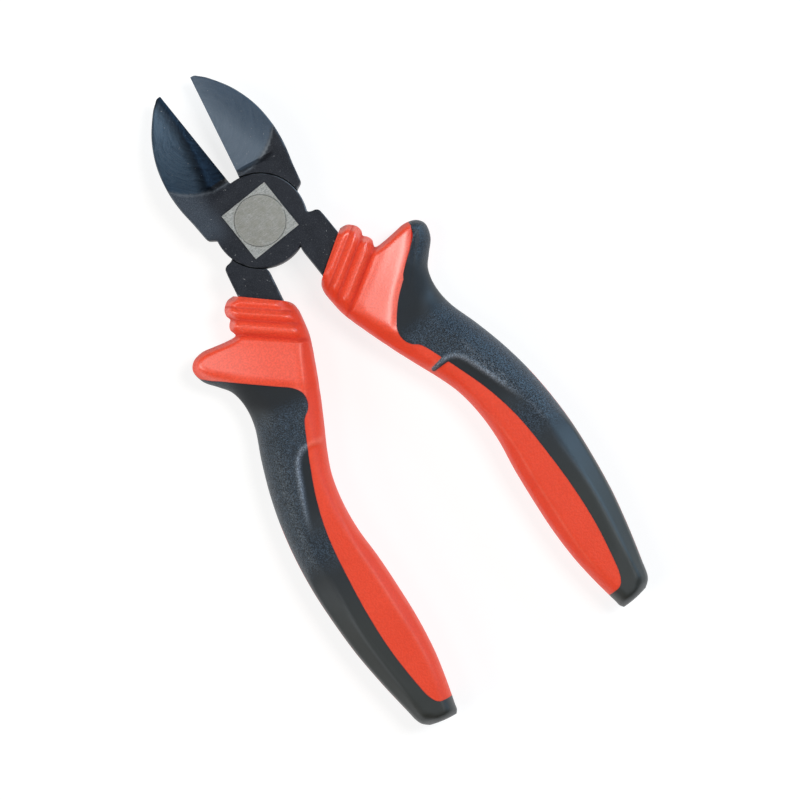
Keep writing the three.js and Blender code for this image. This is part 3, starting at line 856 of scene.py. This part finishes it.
def face_height(plan, half, sides, border, detail):
    """Height of a grip's face over its mid-plane, and how much of it the rounded rim leaves.

    sides holds the distances from the inner side, the outer side and the butt, and the widths of
    the rounding along the outer and the inner side.
    """
    x, y = plan.T
    to_inner, to_outer, to_butt, outer_round, inner_round = sides
    across = x * math.sin(RIB_TURN) - y * math.cos(RIB_TURN)
    top = half.copy()
    if detail:
        top -= COLLAR_DROP * ramp(across, GUARD_START + 0.9, GUARD_START - 0.1)
        for centre, half_width, height in RIBS:
            arch = np.cos(np.pi / 2 * np.clip((across - centre) / half_width, -1, 1))
            top += height * arch * ramp(to_inner, 0.8, 3.2)
        lean = GUARD_LEAN * np.clip((x - 6) / 24, 0, 1) + GUARD_CROWN * np.clip((x - 12) / 16, 0, 1) ** 2
        top -= lean * ramp(y, -52, -36) * ramp(across, GUARD_START - 1, GUARD_START + 1)
        top -= 0.5 * ramp(border, -1.9, 0.9) * ramp(y, -43, -37)
    inner_width = np.interp(y, *np.array(sorted(INNER_FACET)).T)
    outer_width = np.interp(y, *np.array(OUTER_FACET).T)
    blend = 0.35 + 0.65 * ramp(y, -50, -38)
    height = soft_min(top, half * (0.56 + 0.44 * to_inner / inner_width), blend)
    outer_chamfer = half * (0.45 + 0.55 * to_outer / outer_width) + 6 * (1 - ramp(y, -58, -84))
    height = soft_min(height, outer_chamfer, 0.3)
    mouth = half * (0.84 + 0.16 * rounded(across - COLLAR_MOUTH, 1.1))
    height = np.minimum(height, mouth)
    share = rounded(to_inner, inner_round) * rounded(to_outer, outer_round) * rounded(to_butt, BUTT_ROUND)
    return np.clip(np.minimum(height, top * share), 0, None), share


def grip_grid(inset, detail):
    """Points of the grip's outer form in a grid of rows by ring, and values on them."""
    at = grip_rows()
    slices = through([(*a, *b, half, r_out, r_in) for a, b, half, r_out, r_in in SLICES], at)
    inner = rail_inset(slices[:, 0:2], inset, 1)
    outer = rail_inset(slices[:, 2:4], inset, -1)
    across = (1 - np.cos(np.pi * np.arange(COLUMNS + 1) / COLUMNS)) / 2
    plan = inner[:, None] + (outer - inner)[:, None] * across[None, :, None]
    bow = BUTT_BOW * ramp(at, len(SLICES) - 4, len(SLICES) - 1)
    plan[:, :, 1] -= bow[:, None] * (4 * across * (1 - across))[None]
    flat = plan.reshape(-1, 2)

    def for_columns(values):
        return np.repeat(values, COLUMNS + 1)

    sides = (
        np.abs(beside(flat, inner)),
        np.abs(beside(flat, outer)),
        np.abs(beside(flat, plan[-1])),
        for_columns(slices[:, 5]),
        for_columns(slices[:, 6]),
    )
    root, tip, root_width, tip_width = (np.array(v) for v in TAB)
    share = np.clip((flat - root) @ (tip - root) / ((tip - root) @ (tip - root)), 0, 1)
    tab = root_width + (tip_width - root_width) * share
    tab = tab - np.linalg.norm(flat - root - share[:, None] * (tip - root), axis=1)
    borders = []
    heights = []
    rim = np.zeros((len(at), COLUMNS + 1), bool)
    rim[:, (0, -1)] = True
    rim[-1] = True
    for line, own_tab in ((BORDER_FRONT, tab), (BORDER_BACK, tab - 99)):
        border = beside(flat, curve_through(line, 260))
        half = for_columns(slices[:, 4]) - inset
        height, share = face_height(flat, half, sides, border, detail)
        height = smoothed(np.where(rim, 0, height.reshape(rim.shape)), rim, SOFTENING)
        if detail:
            height += (ridge_relief(flat, own_tab) * share).reshape(rim.shape)
            height = smoothed(np.where(rim, 0, height), rim, 1)
        heights.append(height)
        borders.append(np.maximum(border, own_tab).reshape(rim.shape))

    def ring(front, back):
        return np.hstack([front, back[:, -2:0:-1]])

    x, y = (ring(plan[:, :, i], plan[:, :, i]) for i in (0, 1))
    z = ring(heights[0], -heights[1])
    share = ramp(z, -1.2, 1.2)
    front, back = (ring(b, b) for b in borders)
    black = back + (front - back) * share
    to_outer = ring(*[sides[1].reshape(rim.shape)] * 2)
    ends = np.maximum(y - SPINE_FROM, SPINE_TO - y) + SPINE_HALF_HEIGHT
    window = np.hypot(np.clip(ends, 0, None), z) - SPINE_HALF_HEIGHT
    black = np.where(to_outer < 3, np.minimum(black, window), black)
    to_inner = ring(*[sides[0].reshape(rim.shape)] * 2)
    points = np.stack([x, y, z], axis=2).reshape(-1, 3)
    return points, black.ravel(), to_inner.ravel(), to_outer.ravel(), z.shape


def grip_faces(rows, ring):
    """The four-cornered faces of a grip's grid."""
    made = []
    for row in range(rows - 1):
        for i in range(ring):
            a, b = row * ring + i, row * ring + (i + 1) % ring
            made.append((a, a + ring, b + ring, b))
    return made


def split_faces(faces, black):
    """Cuts the faces along black = 0. A cut vertex is a pair (a, b) of the edge's ends."""
    reds = []
    blacks = []
    dark = black >= 0
    for face in faces:
        dark_corners = sum(dark[i] for i in face)
        if dark_corners == 4:
            blacks.append(face)
            continue
        if dark_corners == 0:
            reds.append(face)
            continue
        for triangle in ((face[0], face[1], face[2]), (face[0], face[2], face[3])):
            sides = {True: [], False: []}
            for a, b in zip(triangle, triangle[1:] + triangle[:1]):
                sides[bool(dark[a])].append(a)
                if dark[a] != dark[b]:
                    cut = (min(a, b), max(a, b))
                    sides[True].append(cut)
                    sides[False].append(cut)
            if len(sides[True]) > 2:
                blacks.append(tuple(sides[True]))
            if len(sides[False]) > 2:
                reds.append(tuple(sides[False]))
    return reds, blacks


def between_skins(faces):
    """Walls between the outer and the inner skin along the cut edges of these faces."""
    walls = []
    for face in faces:
        for a, b in zip(face, face[1:] + face[:1]):
            if isinstance(a, tuple) and isinstance(b, tuple):
                walls.append((("o", b), ("o", a), ("i", a), ("i", b)))
    return walls


def build_skins(outer, inner, black, faces, fields):
    """A mesh's points, faces and values. Corners are ("o" or "i", vertex): outer or inner skin."""
    numbers = {}
    points = []
    values = {title: [] for title in fields}

    def number(corner):
        if corner in numbers:
            return numbers[corner]
        skin, vertex = corner
        source = outer if skin == "o" else inner
        if isinstance(vertex, tuple):
            a, b = vertex
            share = black[a] / (black[a] - black[b])
            points.append(source[a] + (source[b] - source[a]) * share)
            for title, value in fields.items():
                values[title].append(value[a] + (value[b] - value[a]) * share)
        else:
            points.append(source[vertex])
            for title, value in fields.items():
                values[title].append(value[vertex])
        numbers[corner] = len(points) - 1
        return numbers[corner]

    indexed = [tuple(number(corner) for corner in face) for face in faces]
    return points, indexed, values


def tang_room(back):
    """A solid with the tang's shape and some room round it, which cuts the pocket into the core."""
    inner = [(x - ROOM_GAP, y) for x, y in TANG_INNER[1:]]
    outer = [(x + ROOM_GAP, y) for x, y in TANG_OUTER[:-1]]
    loop = [(TANG_INNER[0][0] - ROOM_GAP, -5), *inner, *outer, (TANG_OUTER[-1][0] + ROOM_GAP, -5)]
    loop = even_points(loop, 8)
    levels = np.interp(loop[:, 1], *np.array(TANG_HALF_THICKNESS).T) + ROOM_GAP
    count = len(loop)
    points = np.vstack([np.column_stack([loop, levels]), np.column_stack([loop, -levels])])
    sides = [((i + 1) % count, i, count + i, count + (i + 1) % count) for i in range(count)]
    edges = [(i, (i + 1) % count) for i in range(count)]
    plan = delaunay_2d_cdt([Vector(p) for p in loop], edges, [], 1, 1e-5)
    top = [tuple(face) for face in plan[2]]
    under = [tuple(count + i for i in reversed(face)) for face in top]
    return make_piece("tang_room", placed(points, back), top + under + sides)


def grip_fields(outer, black, to_inner, to_outer):
    """Values for a grip's finish and for where its painted light and shade lie: seam is the distance from
    the border, the others are 0 to 1.
    """
    x, y, z = outer.T
    across = x * math.sin(RIB_TURN) - y * math.cos(RIB_TURN)
    # Where the painted shade in the grooves lies; it also roughens them.
    groove = np.zeros(len(outer))
    for place, width in GROOVES:
        groove = np.maximum(groove, np.exp(-(((across - place) / width) ** 2)))
    groove *= ramp(x, 1.6, 3.4) * ramp(y, -33, -31)
    step = step_distance(outer[:, :2])
    above_step = np.maximum(ramp(step, 0.3, 1.2), ramp(y, -66, -76))
    pebble = ramp(y, -39, -44) * ramp(y, -82, -74) * above_step
    horn = 0.5 * ramp(x, 20, 25) * ramp(y, -34, -29)
    pebble = np.maximum(pebble, horn)
    # Where the painted highlight on the finger step's lip lies.
    lip = np.exp(-(((step - 0.6) / 0.55) ** 2)) * ramp(y, -72, -60) * ramp(y, -48, -51)
    lip *= ramp(np.abs(z), 3, 5.5)
    guard = ramp(y, -42, -38) * ramp(to_inner, 1.8, 3.8) * ramp(to_outer, 0.3, 1.6)
    ribs = ramp(across, GUARD_START, GUARD_START - 1)
    calm = ramp(step, 1.0, 0.2) * ramp(y, -78, -62) * ramp(y, -46, -50)
    web = ramp(black, 8, 4) * ramp(y, -24, -30) * ramp(y, -46, -40)
    calm = np.maximum(calm, web * ramp(x, 24, 20))
    calm = np.maximum(calm, 0.6 * ramp(to_outer, 3.6, 5.2) * ramp(y, -62, -72) * ramp(y, -118, -108))
    # Ramps up towards the butt.
    toward_butt = ramp(y, -78, -98)
    # Where the painted highlight along the facet creases lies.
    inner_crease = to_inner - np.interp(y, *np.array(sorted(INNER_FACET)).T)
    outer_crease = to_outer - np.interp(y, *np.array(OUTER_FACET).T)
    ridge = np.exp(-((inner_crease / 0.28) ** 2)) * ramp(y, -56, -66)
    ridge = np.maximum(ridge, np.exp(-((outer_crease / 0.3) ** 2)) * ramp(y, -78, -88))
    ridge *= ramp(y, -116, -108) * ramp(np.abs(z), 3, 4.5)
    fields = {"seam": np.abs(black), "groove": groove, "ribs": ribs, "guard": guard}
    return fields | {"pebble": pebble, "lip": lip, "calm": calm, "toward_butt": toward_butt, "ridge": ridge}


def grip(back):
    """One half's grip: the red core with its pocket, and the black overmould laid into it."""
    outer, black, to_inner, to_outer, (rows, ring) = grip_grid(0, True)
    inner = grip_grid(SKIN, False)[0]
    deeper = grip_grid(SKIN + SKIN_GAP, False)[0]
    reds, blacks = split_faces(grip_faces(rows, ring), black)
    fields = grip_fields(outer, black, to_inner, to_outer)
    side, half = ("left", "back") if back else ("right", "front")
    cap = tuple(("o", i) for i in range(ring))
    red_faces = [tuple(("o", v) for v in face) for face in reds]
    red_faces += [tuple(("i", v) for v in face) for face in blacks]
    red_faces += between_skins(reds) + [cap]
    points, faces, values = build_skins(outer, deeper, black, red_faces, fields)
    core = make_piece(f"{side}_core", placed(points, back), faces, values)
    cut_away(core, tang_room(back))
    finish_piece(core, RED, f"{half}_half", f"{side}_grip_core", 50)
    black_faces = [tuple(("o", v) for v in face) for face in blacks]
    black_faces += [tuple(("i", v) for v in reversed(face)) for face in blacks]
    black_faces += between_skins(blacks)
    points, faces, values = build_skins(outer, inner, black, black_faces, fields)
    overmould = make_piece(f"{side}_overmould", placed(points, back), faces, values)
    finish_piece(overmould, BLACK, f"{half}_half", f"{side}_grip_overmould", 50)


# ---------------------------------------------------------------- the model
for is_back in (False, True):
    forging(is_back)
    grip(is_back)
rivet()

# ---------------------------------------------------------------- floor, light and camera
VIEW_TURN = math.radians(32.5)  # the tool lies turned this far to the left of upright
VIEW_CENTRE = Vector((5.0, -52.4, 7)) * MM
VIEW_WIDTH = 185.6 * MM
VIEW_DISTANCE = 1.3
FLOOR_DARK = (0.24, 0.24, 0.24, 1)
FLOOR_LIGHT = (0.26, 0.26, 0.26, 1)


def floor():
    """The white ground that the tool lies on. It isn't part of the model."""
    material, tree, shader = new_material("floor")
    cloud = noise(tree, where(tree), 0.02, 2)
    tree.links.new(mix_colour(tree, cloud, FLOOR_DARK, FLOOR_LIGHT), shader.inputs["Base Color"])
    shader.inputs["Roughness"].default_value = 0.7
    shader.inputs["Specular IOR Level"].default_value = 0.2
    shader.inputs["Emission Color"].default_value = (1, 1, 1, 1)
    shader.inputs["Emission Strength"].default_value = 0.8
    mesh = bpy.data.meshes.new("floor")
    reach = 2  # metres
    z = (FLOOR_HEIGHT - FLOOR_GAP) * MM
    corners = [(-reach, -reach, z), (reach, -reach, z), (reach, reach, z), (-reach, reach, z)]
    mesh.from_pydata(corners, [], [(0, 1, 2, 3)])
    mesh.materials.append(material)
    ground = bpy.data.objects.new("floor", mesh)
    bpy.context.scene.collection.objects.link(ground)


def screen(right, up, height):
    """A place given as the picture's right and up directions, round the middle of the view."""
    side = Vector((math.cos(VIEW_TURN), -math.sin(VIEW_TURN), 0))
    top = Vector((math.sin(VIEW_TURN), math.cos(VIEW_TURN), 0))
    return VIEW_CENTRE + side * right + top * up + Vector((0, 0, height))


def softbox(name, place, size, power, colour):
    """A rectangular light that faces the middle of the view, with its power in watts."""
    light = bpy.data.lights.new(name, "AREA")
    light.shape = "RECTANGLE"
    light.size, light.size_y = size
    light.energy = power
    light.color = colour
    lamp = bpy.data.objects.new(name, light)
    lamp.location = place
    lamp.rotation_euler = (VIEW_CENTRE - place).to_track_quat("-Z", "Y").to_euler()
    bpy.context.scene.collection.objects.link(lamp)


def camera():
    """Looks straight down, as the photo does."""
    data = bpy.data.cameras.new("camera")
    data.sensor_width = 36
    data.lens = data.sensor_width * VIEW_DISTANCE / VIEW_WIDTH
    data.clip_end = 20
    eye = bpy.data.objects.new("camera", data)
    eye.location = VIEW_CENTRE + Vector((0, 0, VIEW_DISTANCE))
    eye.rotation_euler = (0, 0, -VIEW_TURN)
    bpy.context.scene.collection.objects.link(eye)
    bpy.context.scene.camera = eye


floor()
camera()
softbox("sky", screen(1.0, 0.66, 0.5), (0.7, 0.7), 10.8, (0.5, 0.76, 1))
softbox("near_top", screen(0.42, 0.27, 1.2), (0.33, 0.33), 7.8, (1, 0.97, 0.94))
softbox("near_left", screen(-0.54, -0.14, 1.22), (0.3, 0.3), 2.3, (1, 0.98, 0.95))
softbox("fill", screen(-0.9, -0.35, 0.6), (0.6, 0.6), 6.2, (1, 0.98, 0.93))
world = bpy.data.worlds.new("world")
world.use_nodes = True
world.node_tree.nodes["Background"].inputs["Color"].default_value = (0.95, 0.97, 1, 1)
world.node_tree.nodes["Background"].inputs["Strength"].default_value = 0.1
bpy.context.scene.world = world
bpy.context.scene.view_settings.view_transform = "Standard"
